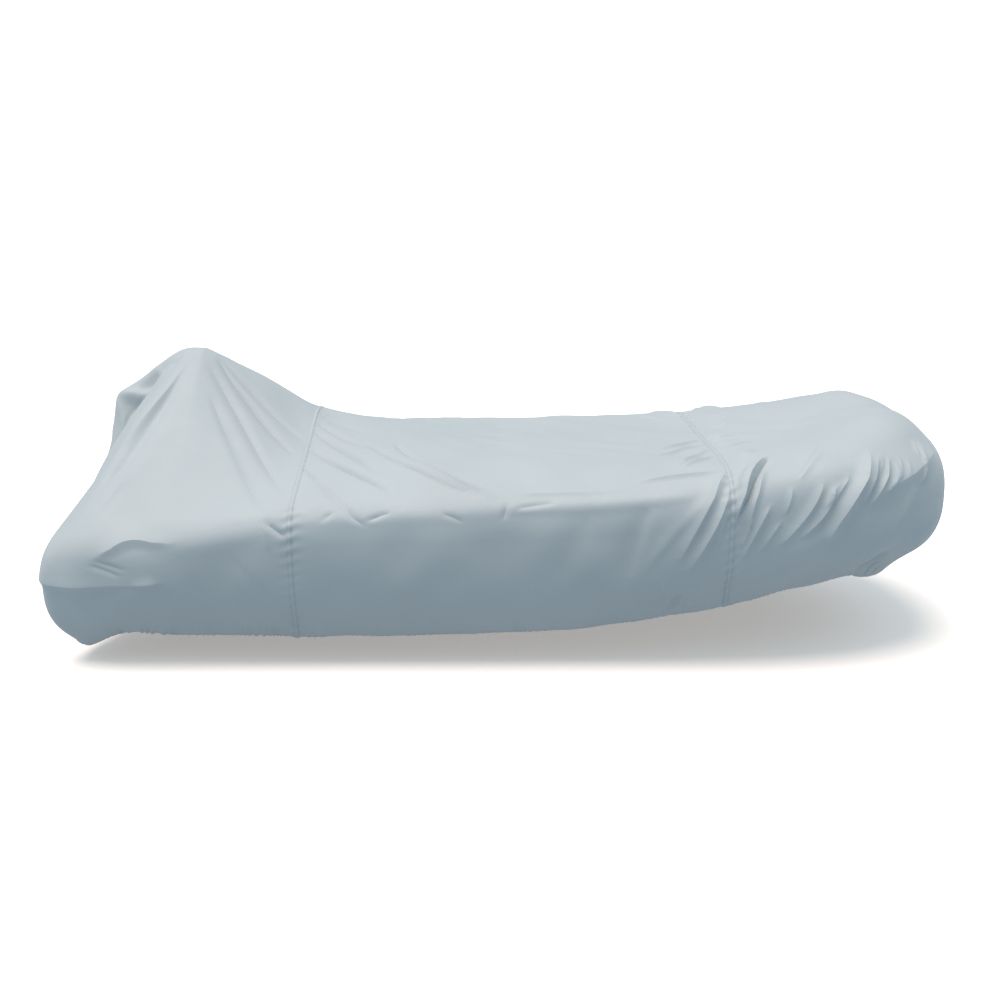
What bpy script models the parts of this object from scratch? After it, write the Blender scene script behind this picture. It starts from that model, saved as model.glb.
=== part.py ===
"""Fitted cover for a small inflatable boat: three panels of coated cloth, sewn across.

Metres. +X runs to the bow, +Y to the far side and +Z up. The origin lies on the cloth's
underside, under the middle of the top, where the cover is carried.
"""

import bpy
import numpy as np

# Driving dimensions
CLOTH = 0.002  # thickness of the coated cloth, with its backing
SEAM_GAP = 0.0004  # between two panels' edges at a seam
SEAM_STRIP = 0.006  # the level strip along each cut edge
STERN_SEAM_X = -0.79
BOW_SEAM_X = 0.87
TURN_IN = 0.030  # the hem, turned in under the side
TURN_UP = 0.012

# How far the corners of a section are rounded, along their legs
CROWN = 0.055
GUNWALE_CUTS = (0.10, 0.13)
SIDE_CUT = 0.12
HEM_CUT = 0.022

# Places along the gunwale: both seams, the middle of the cover and the bow's centre
AT_STERN_SEAM = 1.81
AT_MIDDLE = 2.60
AT_BOW_SEAM = 3.47
AT_BOW = 5.00

# How finely the panels' cloth is cut into faces
STERN_STEPS = 24
BOW_STEPS = 22

CLOTH_COLOUR = (0.42, 0.50, 0.55, 1)
CLOTH_ROUGHNESS = 0.6

# One row for each section, from the stern's centre round one side to the bow's centre.
# at: place along the gunwale. spine: where the section starts, on the centre plane.
# crest: how far in from the edge, its height, and how far its corner is rounded.
# edge: the gunwale, x, distance out from the centre plane, and height. side: the height
# where the side turns in. hem: how far in from the edge, and height.
SECTION_COLUMNS = (
    "at", "spine_x", "spine_z", "crest_in", "crest_z", "crest_cut",
    "edge_x", "edge_out", "edge_z", "side_z", "hem_in", "hem_z",
)
SECTIONS = (
    (0.00, -1.320, 0.398, 0.045, 0.205, 0.03, -1.712, 0.000, -0.08, -0.42, 0.02, -0.600),
    (0.16, -1.320, 0.398, 0.070, 0.150, 0.05, -1.708, 0.150, -0.10, -0.42, 0.02, -0.605),
    (0.36, -1.320, 0.398, 0.125, -0.010, 0.10, -1.692, 0.360, -0.18, -0.42, 0.03, -0.620),
    (0.66, -1.320, 0.398, 0.205, -0.150, 0.12, -1.770, 0.780, -0.31, -0.46, 0.15, -0.690),
    (0.88, -1.320, 0.398, 0.200, -0.130, 0.15, -1.660, 0.875, -0.29, -0.47, 0.13, -0.700),
    (1.10, -1.320, 0.398, 0.240, -0.090, 0.17, -1.480, 0.892, -0.27, -0.47, 0.11, -0.640),
    (1.35, -1.290, 0.395, 0.280, -0.060, 0.17, -1.250, 0.900, -0.225, -0.45, 0.11, -0.645),
    (1.58, -1.050, 0.288, 0.290, -0.050, 0.17, -1.020, 0.903, -0.18, -0.42, 0.11, -0.650),
    (1.81, -0.790, 0.142, 0.290, -0.045, 0.17, -0.790, 0.905, -0.145, -0.40, 0.11, -0.650),
    (2.20, -0.400, 0.075, 0.280, 0.000, 0.17, -0.400, 0.905, -0.125, -0.39, 0.11, -0.648),
    (2.60, 0.000, 0.005, 0.270, 0.018, 0.17, 0.000, 0.905, -0.11, -0.38, 0.11, -0.637),
    (3.05, 0.450, 0.005, 0.250, 0.026, 0.15, 0.450, 0.905, -0.09, -0.37, 0.11, -0.602),
    (3.47, 0.870, 0.022, 0.200, 0.026, 0.12, 0.870, 0.902, -0.05, -0.34, 0.12, -0.532),
    (3.56, 0.940, 0.034, 0.200, 0.046, 0.13, 0.960, 0.898, -0.04, -0.33, 0.12, -0.512),
    (3.74, 1.020, 0.045, 0.210, 0.062, 0.15, 1.150, 0.875, -0.01, -0.31, 0.13, -0.475),
    (4.04, 1.140, 0.060, 0.220, 0.115, 0.16, 1.450, 0.790, 0.00, -0.30, 0.18, -0.455),
    (4.38, 1.200, 0.070, 0.230, 0.197, 0.16, 1.735, 0.585, -0.01, -0.30, 0.24, -0.490),
    (4.72, 1.200, 0.070, 0.230, 0.202, 0.16, 1.855, 0.300, -0.02, -0.29, 0.26, -0.490),
    (5.00, 1.200, 0.070, 0.230, 0.188, 0.16, 1.885, 0.000, -0.02, -0.29, 0.26, -0.480),
)

# One row for each fold of the near side. Its line runs on the cloth through three places,
# each given by at and v, and starts at its tight end. v is 0 on the spine, 1 on the
# gunwale and 2 at the hem's fold. A ridge has a height above 0 and a trough one below.
# lean tips the fold to the left of its line, or to the right below 0.
FOLD_COLUMNS = (
    "at_start", "v_start", "at_middle", "v_middle", "at_end", "v_end",
    "width", "height", "lean",
)
FOLDS = (
    # the hood: the taut ridge to the stern corner, the hollow behind it, and the near face
    (0.36, 0.12, 0.38, 0.50, 0.42, 0.95, 0.045, 0.039, 0.0),
    (0.18, 0.26, 0.20, 0.55, 0.24, 0.90, 0.075, -0.075, 0.0),
    (0.26, 0.36, 0.15, 0.46, 0.04, 0.55, 0.028, 0.030, 0.0),
    (1.14, 0.12, 1.00, 0.46, 0.86, 0.92, 0.045, -0.030, 0.5),
    (0.92, 0.12, 0.86, 0.46, 0.78, 0.88, 0.045, 0.013, 0.0),
    (1.43, 0.08, 1.58, 0.23, 1.80, 0.60, 0.030, -0.017, 0.6),
    (1.48, 0.06, 1.60, 0.15, 1.80, 0.33, 0.026, -0.013, 0.6),
    (1.40, 0.12, 1.53, 0.34, 1.80, 0.88, 0.050, -0.024, 0.0),
    (1.45, 0.34, 1.56, 0.60, 1.70, 0.95, 0.040, -0.018, 0.0),
    # the stern corner, below the gunwale
    (0.64, 1.22, 0.91, 1.31, 1.16, 1.36, 0.040, 0.018, 0.6),
    (1.04, 1.10, 1.10, 1.18, 1.18, 1.24, 0.022, 0.012, 0.0),
    # across the deck, from the stern seam
    (1.86, 0.42, 1.99, 0.61, 2.14, 0.81, 0.022, -0.011, 0.5),
    (1.82, 0.62, 1.96, 0.84, 2.10, 1.04, 0.024, -0.012, 0.5),
    (2.16, 0.52, 2.34, 0.77, 2.56, 0.93, 0.034, 0.018, -0.5),
    (2.14, 0.34, 2.28, 0.58, 2.42, 0.80, 0.034, 0.012, -0.5),
    (2.46, 0.17, 2.64, 0.22, 2.90, 0.25, 0.055, -0.013, 0.0),
    # the bundle at the gunwale by the bow seam, and the drapes below it
    (3.46, 0.87, 3.38, 1.01, 3.30, 1.22, 0.032, 0.027, 0.0),
    (3.46, 0.94, 3.41, 1.10, 3.34, 1.36, 0.030, -0.024, 0.0),
    (3.46, 0.97, 3.43, 1.16, 3.31, 1.54, 0.036, 0.033, 0.0),
    (3.34, 1.08, 3.22, 1.34, 3.10, 1.62, 0.070, 0.018, 0.0),
    (3.24, 0.98, 3.12, 1.18, 3.02, 1.40, 0.060, -0.012, 0.0),
    # the bow: the slots by the seam, the long ridge and the facets round the corner
    (3.64, 0.76, 3.58, 0.92, 3.49, 1.16, 0.034, -0.039, 0.5),
    (3.60, 1.08, 3.57, 1.26, 3.52, 1.52, 0.034, 0.022, 0.0),
    (3.80, 0.98, 3.74, 1.16, 3.66, 1.42, 0.040, -0.018, 0.0),
    (4.06, 0.86, 3.93, 1.10, 3.83, 1.48, 0.048, 0.039, 0.4),
    (4.16, 0.92, 4.04, 1.14, 3.95, 1.40, 0.044, -0.027, 0.0),
    (4.36, 0.82, 4.30, 0.94, 4.24, 1.10, 0.036, -0.021, 0.0),
    (4.52, 0.88, 4.44, 1.04, 4.36, 1.24, 0.040, 0.021, 0.0),
    (3.40, 1.86, 3.60, 1.71, 3.80, 1.58, 0.040, -0.015, 0.0),
    (4.13, 1.62, 4.10, 1.74, 4.06, 1.90, 0.036, -0.024, 0.0),
)
FAR_SHIFT = 0.05  # the far side's folds lie this much further forward
FAR_SHARE = 0.85  # and are this share of the near side's height
FOLD_STEPS = 16

# The broad unevenness of slack cloth: the height of each wave, and its lengths along X
# and round the section
WAVES = (
    (0.0030, 0.61, 0.47),
    (0.0022, 0.37, 0.29),
    (0.0014, 0.23, 0.41),
)


def smooth_rows(table, at, odd=()):
    """Each column of a table, read at the given places along its first column."""
    rows = np.array(table, float)
    flip = np.ones(rows.shape[1])
    flip[list(odd)] = -1
    before = rows[1] * flip
    after = rows[-2] * flip
    before[0] = 2 * rows[0, 0] - rows[1, 0]
    after[0] = 2 * rows[-1, 0] - rows[-2, 0]
    knots = np.vstack([before, rows, after])
    places = knots[:, 0]
    slopes = np.zeros_like(knots)
    slopes[1:-1] = (knots[2:] - knots[:-2]) / (places[2:] - places[:-2])[:, None]
    at = np.clip(at, rows[0, 0], rows[-1, 0])
    i = np.clip(np.searchsorted(places, at, side="right") - 1, 1, len(knots) - 3)
    span = (places[i + 1] - places[i])[:, None]
    t = (at[:, None] - places[i][:, None]) / span
    return (
        knots[i] * (2 * t**3 - 3 * t**2 + 1)
        + slopes[i] * span * (t**3 - 2 * t**2 + t)
        + knots[i + 1] * (3 * t**2 - 2 * t**3)
        + slopes[i + 1] * span * (t**3 - t**2)
    )


def rounded(before, corner, after, cut_before, cut_after, steps=8):
    """Points of a curve that rounds a corner, cut_before and cut_after from it."""
    start = before - corner
    end = after - corner
    start_length = np.linalg.norm(start, axis=-1, keepdims=True)
    end_length = np.linalg.norm(end, axis=-1, keepdims=True)
    start = corner + start / start_length * np.minimum(cut_before, 0.48 * start_length)
    end = corner + end / end_length * np.minimum(cut_after, 0.48 * end_length)
    t = np.linspace(0, 1, steps + 1)[:, None, None]
    curve = (1 - t) ** 2 * start + 2 * t * (1 - t) * corner + t**2 * end
    return list(curve)


def section_lines(at):
    """Each section at full length: its points in 3-D on the +Y side, and their v.

    v is 0 at the spine, 1 at the gunwale, 2 at the hem's fold and 3 at its raw edge.
    """
    row = dict(zip(SECTION_COLUMNS, smooth_rows(SECTIONS, at, odd=(7,)).T))
    reach = np.hypot(row["edge_x"] - row["spine_x"], row["edge_out"])

    def corner(distance, height):
        return np.stack([distance, height], -1)

    spine = corner(0 * reach, row["spine_z"])
    crown = corner(0 * reach + CROWN, row["spine_z"])
    crest = corner(reach - row["crest_in"], row["crest_z"])
    edge = corner(reach, row["edge_z"])
    side = corner(reach, row["side_z"])
    hem = corner(reach - row["hem_in"], row["hem_z"])
    raw = corner(reach - row["hem_in"] - TURN_IN, row["hem_z"] + TURN_UP)

    top = [spine] + rounded(spine, crown, crest, CROWN, CROWN)
    crest_cut = row["crest_cut"][:, None]
    top += rounded(crown, crest, edge, crest_cut, crest_cut)
    gunwale = rounded(crest, edge, side, *GUNWALE_CUTS)
    half = len(gunwale) // 2
    top += gunwale[: half + 1]
    down = gunwale[half:] + rounded(edge, side, hem, SIDE_CUT, SIDE_CUT)
    turn = rounded(side, hem, raw, HEM_CUT, HEM_CUT)
    half = len(turn) // 2
    down += turn[: half + 1]
    back = turn[half:] + [raw]

    line = []
    v = []
    for number, part in enumerate((top, down, back)):
        part = np.array(part)
        steps = np.linalg.norm(np.diff(part, axis=0), axis=-1)
        along = np.vstack([0 * steps[:1], np.cumsum(steps, axis=0)])
        line.append(part)
        v.append(number + along / along[-1])
    line = np.vstack(line)
    v = np.vstack(v)
    ahead = ((row["edge_x"] - row["spine_x"]) / reach)[None]
    out = (row["edge_out"] / reach)[None]
    x = row["spine_x"][None] + line[..., 0] * ahead
    y = line[..., 0] * out
    return np.stack([x, y, line[..., 1]], -1), v


def grid_on_cloth(at, v, side):
    """Points of the smooth cloth on side -1 or +1: a row of them for each section."""
    lines, places = section_lines(at)
    points = np.empty((len(at), len(v), 3))
    for i in range(len(at)):
        for axis in range(3):
            points[i, :, axis] = np.interp(v, places[:, i], lines[:, i, axis])
    points[..., 1] *= side
    return points


def quads_of(rows, columns, flipped):
    """The quads of a grid, facing the other way when flipped."""
    number = np.arange(rows * columns).reshape(rows, columns)
    corners = [number[:-1, :-1], number[1:, :-1], number[1:, 1:], number[:-1, 1:]]
    if flipped:
        corners.reverse()
    return np.stack(corners, -1).reshape(-1, 4)


def welded(points, quads):
    """The points that differ, the quads between them, and each old point's new number."""
    _, first, same = np.unique(
        np.round(points, 6) + 0.0, axis=0, return_index=True, return_inverse=True
    )
    same = same.reshape(-1)
    return points[first], same[quads], same


def point_normals(points, quads):
    """The outward normal at each point of a surface of quads."""
    corners = points[quads]
    face = np.cross(corners[:, 2] - corners[:, 0], corners[:, 3] - corners[:, 1])
    normals = np.zeros_like(points)
    for corner in range(4):
        np.add.at(normals, quads[:, corner], face)
    return normals / np.linalg.norm(normals, axis=1, keepdims=True)


def fold_line(fold, side):
    """Points along a fold's line on the smooth cloth."""
    t = np.linspace(0, 1, FOLD_STEPS + 1)
    share = ((1 - t) * (1 - 2 * t), 4 * t * (1 - t), t * (2 * t - 1))
    ends = ("start", "middle", "end")
    at = sum(s * fold["at_" + end] for s, end in zip(share, ends))
    v = sum(s * fold["v_" + end] for s, end in zip(share, ends))
    if side > 0:
        at = at + FAR_SHIFT
    lines, places = section_lines(np.clip(at, 0, AT_BOW))
    points = [
        [np.interp(v[i], places[:, i], lines[:, i, axis]) for axis in range(3)]
        for i in range(len(t))
    ]
    return np.array(points) * (1, side, 1)


def fold_rise(points, normals, fold, side):
    """How far one fold lifts each point of the cloth."""
    line = fold_line(fold, side)
    reach = 3 * fold["width"]
    low = line.min(axis=0) - reach
    high = line.max(axis=0) + reach
    near = np.nonzero(np.all((points > low) & (points < high), axis=1))[0]
    rise = np.zeros(len(points))
    if len(near) == 0:
        return rise
    p = points[near]
    best = np.full(len(near), np.inf)
    place = np.zeros(len(near))
    across = np.zeros(len(near))
    for step in range(FOLD_STEPS):
        start = line[step]
        run = line[step + 1] - start
        t = np.clip((p - start) @ run / (run @ run), 0, 1)
        off = p - start - t[:, None] * run
        distance = np.linalg.norm(off, axis=1)
        closer = distance < best
        best[closer] = distance[closer]
        place[closer] = (step + t[closer]) / FOLD_STEPS
        left = np.cross(normals[near], run / np.linalg.norm(run))
        across[closer] = np.einsum("ij,ij->i", off, left)[closer]
    width = fold["width"] * (0.55 + 0.45 * place)
    tipped = 1 + fold["lean"] * np.clip(across / width, -1, 1)
    fade = np.sin(np.pi * np.clip(place, 0.02, 0.98)) ** 0.45
    rise[near] = fold["height"] * np.exp(-((best / width) ** 2)) * tipped * fade
    return rise


def cloth_rise(points, normals):
    """How far folds and slack lift each point of the smooth cloth."""
    rise = np.zeros(len(points))
    for height, along, round_it in WAVES:
        wave = np.sin(2 * np.pi * points[:, 0] / along + 5 * points[:, 1])
        rise += height * wave * np.sin(
            2 * np.pi * (points[:, 1] - points[:, 2]) / round_it + 3 * points[:, 0]
        )
    for row in FOLDS:
        fold = dict(zip(FOLD_COLUMNS, row))
        rise += fold_rise(points, normals, fold, -1)
        fold["height"] *= FAR_SHARE
        rise += fold_rise(points, normals, fold, 1)
    return rise


def spaced(marks, steps):
    """Numbers from each mark to the next, with the given count of steps between."""
    parts = [
        np.linspace(a, b, n, endpoint=False)
        for a, b, n in zip(marks[:-1], marks[1:], steps)
    ]
    return np.append(np.concatenate(parts), marks[-1])


def folded_cloth(at, v):
    """The cover's outer face: both sides' grids of points, with their quads."""
    count = len(at) * len(v)
    smooth = np.vstack([grid_on_cloth(at, v, side).reshape(-1, 3) for side in (-1, 1)])
    quads = np.vstack([
        quads_of(len(at), len(v), True),
        quads_of(len(at), len(v), False) + count,
    ])
    points, joined, same = welded(smooth, quads)
    normals = point_normals(points, joined)
    points = points + normals * cloth_rise(points, normals)[:, None]
    grids = points[same].reshape(2, len(at), len(v), 3)
    for seam, x in ((AT_STERN_SEAM, STERN_SEAM_X), (AT_BOW_SEAM, BOW_SEAM_X)):
        row = int(np.argmin(np.abs(at - seam)))
        grids[:, row, :, 0] = x
        for step in (-1, 1):
            grids[:, row + step, :, 0] = x + step * SEAM_STRIP
            grids[:, row + step, :, 1:] = grids[:, row, :, 1:]
    middle = int(np.argmin(np.abs(at - AT_MIDDLE)))
    grids[..., 2] += CLOTH - grids[0, middle, 0, 2]
    return grids


def panel(name, grids, first, last, collection):
    """One sewn panel, from the first to the last row of the grids."""
    cut = grids[:, first : last + 1].copy()
    if first > 0:
        cut[:, 0, :, 0] += SEAM_GAP / 2
    if last < grids.shape[1] - 1:
        cut[:, -1, :, 0] -= SEAM_GAP / 2
    rows, columns = cut.shape[1:3]
    quads = np.vstack([
        quads_of(rows, columns, True),
        quads_of(rows, columns, False) + rows * columns,
    ])
    points, quads, _ = welded(cut.reshape(-1, 3), quads)
    faces = [[p for i, p in enumerate(q) if p != q[i - 1]] for q in quads.tolist()]
    mesh = bpy.data.meshes.new(name)
    mesh.from_pydata(points.tolist(), [], faces)
    mesh.update()
    mesh.shade_smooth()
    thing = bpy.data.objects.new(name, mesh)
    collection.objects.link(thing)
    shell = thing.modifiers.new("cloth", "SOLIDIFY")
    shell.thickness = CLOTH
    shell.offset = -1
    return thing


def cloth_material():
    material = bpy.data.materials.new("coated_cloth")
    material.use_nodes = True
    shader = material.node_tree.nodes["Principled BSDF"]
    shader.inputs["Base Color"].default_value = CLOTH_COLOUR
    shader.inputs["Roughness"].default_value = CLOTH_ROUGHNESS
    return material


def main():
    for thing in list(bpy.data.objects):
        bpy.data.objects.remove(thing)
    collection = bpy.data.collections.new("boat_cover")
    bpy.context.scene.collection.children.link(collection)
    at = spaced(
        (0, AT_STERN_SEAM - SEAM_STRIP, AT_STERN_SEAM, AT_STERN_SEAM + SEAM_STRIP,
         AT_MIDDLE, AT_BOW_SEAM - SEAM_STRIP, AT_BOW_SEAM, AT_BOW_SEAM + SEAM_STRIP, AT_BOW),
        (STERN_STEPS, 1, 1, 10, 11, 1, 1, BOW_STEPS),
    )
    v = spaced((0, 0.78, 1.30, 2, 3), (9, 7, 6, 2))
    grids = folded_cloth(at, v)
    stern = int(np.argmin(np.abs(at - AT_STERN_SEAM)))
    bow = int(np.argmin(np.abs(at - AT_BOW_SEAM)))
    material = cloth_material()
    for name, first, last in (
        ("stern_panel", 0, stern),
        ("middle_panel", stern, bow),
        ("bow_panel", bow, len(at) - 1),
    ):
        panel(name, grids, first, last, collection).data.materials.append(material)


main()
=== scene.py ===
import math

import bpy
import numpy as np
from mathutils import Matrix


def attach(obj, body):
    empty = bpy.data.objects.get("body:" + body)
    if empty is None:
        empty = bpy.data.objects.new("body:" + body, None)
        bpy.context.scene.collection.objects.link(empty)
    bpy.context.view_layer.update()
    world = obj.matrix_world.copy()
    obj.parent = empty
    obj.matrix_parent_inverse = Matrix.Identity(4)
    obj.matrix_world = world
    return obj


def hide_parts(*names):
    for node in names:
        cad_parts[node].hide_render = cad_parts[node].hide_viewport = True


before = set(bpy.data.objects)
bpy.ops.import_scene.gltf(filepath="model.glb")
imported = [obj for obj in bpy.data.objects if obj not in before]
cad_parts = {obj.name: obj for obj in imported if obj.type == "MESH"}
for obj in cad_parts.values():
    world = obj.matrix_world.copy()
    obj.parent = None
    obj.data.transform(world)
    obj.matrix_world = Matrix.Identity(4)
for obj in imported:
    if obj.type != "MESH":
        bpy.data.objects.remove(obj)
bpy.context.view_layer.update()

# Looks of the fitted boat cover: the three sewn panels as fine folded cloth, the felled
# seams with their stitches, the coated cloth's material, the camera and the light.
# Metres, in the frame's axes: +X runs to the bow, +Y to the far side and +Z up.

# ---------------------------------------------------------------- the cover's own sizes
# These repeat the source of the solids, so that the fine cloth lies where they do. One
# section differs, at 1.35: its spine lies 28 mm further forward and 2 mm lower. The spine
# is also held within the table's own limits, so that the peak does not overshoot them.

CLOTH = 0.002  # thickness of the coated cloth, with its backing
SEAM_GAP = 0.0004  # between two panels' edges at a seam
SEAM_STRIP = 0.006  # the level strip along each cut edge
STERN_SEAM_X = -0.79
BOW_SEAM_X = 0.87
TURN_IN = 0.030  # the hem, turned in under the side
TURN_UP = 0.012

# How far the corners of a section are rounded, along their legs
CROWN = 0.055
GUNWALE_CUTS = (0.10, 0.13)
SIDE_CUT = 0.12
HEM_CUT = 0.022

# Places along the gunwale: both seams, the middle of the cover and the bow's centre
AT_STERN_SEAM = 1.81
AT_MIDDLE = 2.60
AT_BOW_SEAM = 3.47
AT_BOW = 5.00

# One row for each section, from the stern's centre round one side to the bow's centre.
# at: place along the gunwale. spine: where the section starts, on the centre plane.
# crest: how far in from the edge, its height, and how far its corner is rounded.
# edge: the gunwale, x, distance out from the centre plane, and height. side: the height
# where the side turns in. hem: how far in from the edge, and height.
SECTION_COLUMNS = (
    "at", "spine_x", "spine_z", "crest_in", "crest_z", "crest_cut",
    "edge_x", "edge_out", "edge_z", "side_z", "hem_in", "hem_z",
)
SECTIONS = (
    (0.00, -1.320, 0.398, 0.045, 0.205, 0.03, -1.712, 0.000, -0.08, -0.42, 0.02, -0.600),
    (0.16, -1.320, 0.398, 0.070, 0.150, 0.05, -1.708, 0.150, -0.10, -0.42, 0.02, -0.605),
    (0.36, -1.320, 0.398, 0.125, -0.010, 0.10, -1.692, 0.360, -0.18, -0.42, 0.03, -0.620),
    (0.66, -1.320, 0.398, 0.205, -0.150, 0.12, -1.770, 0.780, -0.31, -0.46, 0.15, -0.690),
    (0.88, -1.320, 0.398, 0.200, -0.130, 0.15, -1.660, 0.875, -0.29, -0.47, 0.13, -0.700),
    (1.10, -1.320, 0.398, 0.240, -0.090, 0.17, -1.480, 0.892, -0.27, -0.47, 0.11, -0.640),
    (1.35, -1.262, 0.393, 0.280, -0.060, 0.17, -1.250, 0.900, -0.225, -0.45, 0.11, -0.645),
    (1.58, -1.050, 0.288, 0.290, -0.050, 0.17, -1.020, 0.903, -0.18, -0.42, 0.11, -0.650),
    (1.81, -0.790, 0.142, 0.290, -0.045, 0.17, -0.790, 0.905, -0.145, -0.40, 0.11, -0.650),
    (2.20, -0.400, 0.075, 0.280, 0.000, 0.17, -0.400, 0.905, -0.125, -0.39, 0.11, -0.648),
    (2.60, 0.000, 0.005, 0.270, 0.018, 0.17, 0.000, 0.905, -0.11, -0.38, 0.11, -0.637),
    (3.05, 0.450, 0.005, 0.250, 0.026, 0.15, 0.450, 0.905, -0.09, -0.37, 0.11, -0.602),
    (3.47, 0.870, 0.022, 0.200, 0.026, 0.12, 0.870, 0.902, -0.05, -0.34, 0.12, -0.532),
    (3.56, 0.940, 0.034, 0.200, 0.046, 0.13, 0.960, 0.898, -0.04, -0.33, 0.12, -0.512),
    (3.74, 1.020, 0.045, 0.210, 0.062, 0.15, 1.150, 0.875, -0.01, -0.31, 0.13, -0.475),
    (4.04, 1.140, 0.060, 0.220, 0.115, 0.16, 1.450, 0.790, 0.00, -0.30, 0.18, -0.455),
    (4.38, 1.200, 0.070, 0.230, 0.197, 0.16, 1.735, 0.585, -0.01, -0.30, 0.24, -0.490),
    (4.72, 1.200, 0.070, 0.230, 0.202, 0.16, 1.855, 0.300, -0.02, -0.29, 0.26, -0.490),
    (5.00, 1.200, 0.070, 0.230, 0.188, 0.16, 1.885, 0.000, -0.02, -0.29, 0.26, -0.480),
)

# Each fold of the near side is one row. Its line runs on the cloth through three places,
# each given by at and v, and starts at its tight end. v is 0 on the spine, 1 on the
# gunwale and 2 at the hem's fold. left and right are how wide its two flanks are, seen
# from outside along its line. A ridge has a height above 0 and a trough one below.
FOLD_COLUMNS = (
    "at_start", "v_start", "at_middle", "v_middle", "at_end", "v_end",
    "left", "right", "height",
)
# The soft folds are round on top.
SOFT_FOLDS = (
    # the hood: the taut ridge to the stern corner, the hollow behind it, and the near face
    (0.36, 0.15, 0.38, 0.50, 0.42, 0.95, 0.045, 0.045, 0.039),
    (0.18, 0.26, 0.20, 0.55, 0.24, 0.90, 0.075, 0.075, -0.062),
    (0.26, 0.36, 0.15, 0.46, 0.04, 0.55, 0.032, 0.032, 0.022),
    (0.02, 0.78, 0.01, 0.93, 0.01, 1.12, 0.100, 0.100, -0.018),
    (1.10, 0.16, 1.00, 0.48, 0.89, 0.86, 0.032, 0.032, -0.014),
    (0.73, 0.08, 0.60, 0.14, 0.42, 0.24, 0.012, 0.012, -0.004),
    (1.05, 0.70, 1.02, 0.78, 0.98, 0.88, 0.018, 0.018, -0.003),
    # the stern corner and the side ahead of it
    (0.60, 1.30, 0.70, 1.60, 0.84, 1.90, 0.070, 0.070, 0.026),
    (1.09, 1.44, 1.16, 1.66, 1.24, 1.81, 0.024, 0.024, -0.004),
    (1.30, 1.40, 1.37, 1.62, 1.44, 1.78, 0.026, 0.026, -0.004),
    (1.42, 1.30, 1.48, 1.58, 1.52, 1.80, 0.024, 0.024, -0.005),
    (1.58, 1.22, 1.66, 1.45, 1.72, 1.66, 0.022, 0.022, -0.004),
    (0.92, 1.40, 1.01, 1.60, 1.10, 1.80, 0.024, 0.024, -0.005),
    # along the gunwale
    (1.29, 1.03, 1.49, 1.07, 1.71, 1.06, 0.055, 0.045, 0.008),
    (1.84, 1.005, 2.30, 1.00, 2.80, 0.98, 0.040, 0.036, 0.006),
    (2.62, 0.985, 2.96, 0.985, 3.32, 0.975, 0.036, 0.030, 0.010),
    # the deck
    (2.13, 0.11, 2.38, 0.07, 2.69, 0.02, 0.034, 0.034, -0.006),
    (2.47, 0.16, 2.64, 0.20, 2.88, 0.28, 0.020, 0.020, -0.006),
    (2.16, 0.52, 2.34, 0.77, 2.56, 0.93, 0.030, 0.040, 0.007),
    # the side below the bow seam, and the hem behind it
    (3.16, 1.02, 3.11, 1.25, 3.08, 1.56, 0.030, 0.050, -0.010),
    (3.37, 1.02, 3.26, 1.22, 3.14, 1.52, 0.020, 0.028, 0.006),
    (2.94, 1.06, 2.87, 1.29, 2.83, 1.56, 0.050, 0.060, -0.006),
    (3.79, 1.60, 3.57, 1.73, 3.33, 1.86, 0.024, 0.030, -0.007),
    (4.22, 1.09, 4.18, 1.23, 4.14, 1.38, 0.025, 0.025, 0.006),
    (4.13, 1.62, 4.10, 1.74, 4.06, 1.92, 0.030, 0.030, -0.020),
    (4.08, 1.95, 4.21, 1.99, 4.36, 1.92, 0.050, 0.050, 0.014),
    (4.40, 1.20, 4.34, 1.45, 4.26, 1.72, 0.050, 0.050, 0.008),
    (3.86, 1.36, 3.70, 1.56, 3.52, 1.74, 0.030, 0.030, 0.005),
)
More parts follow.
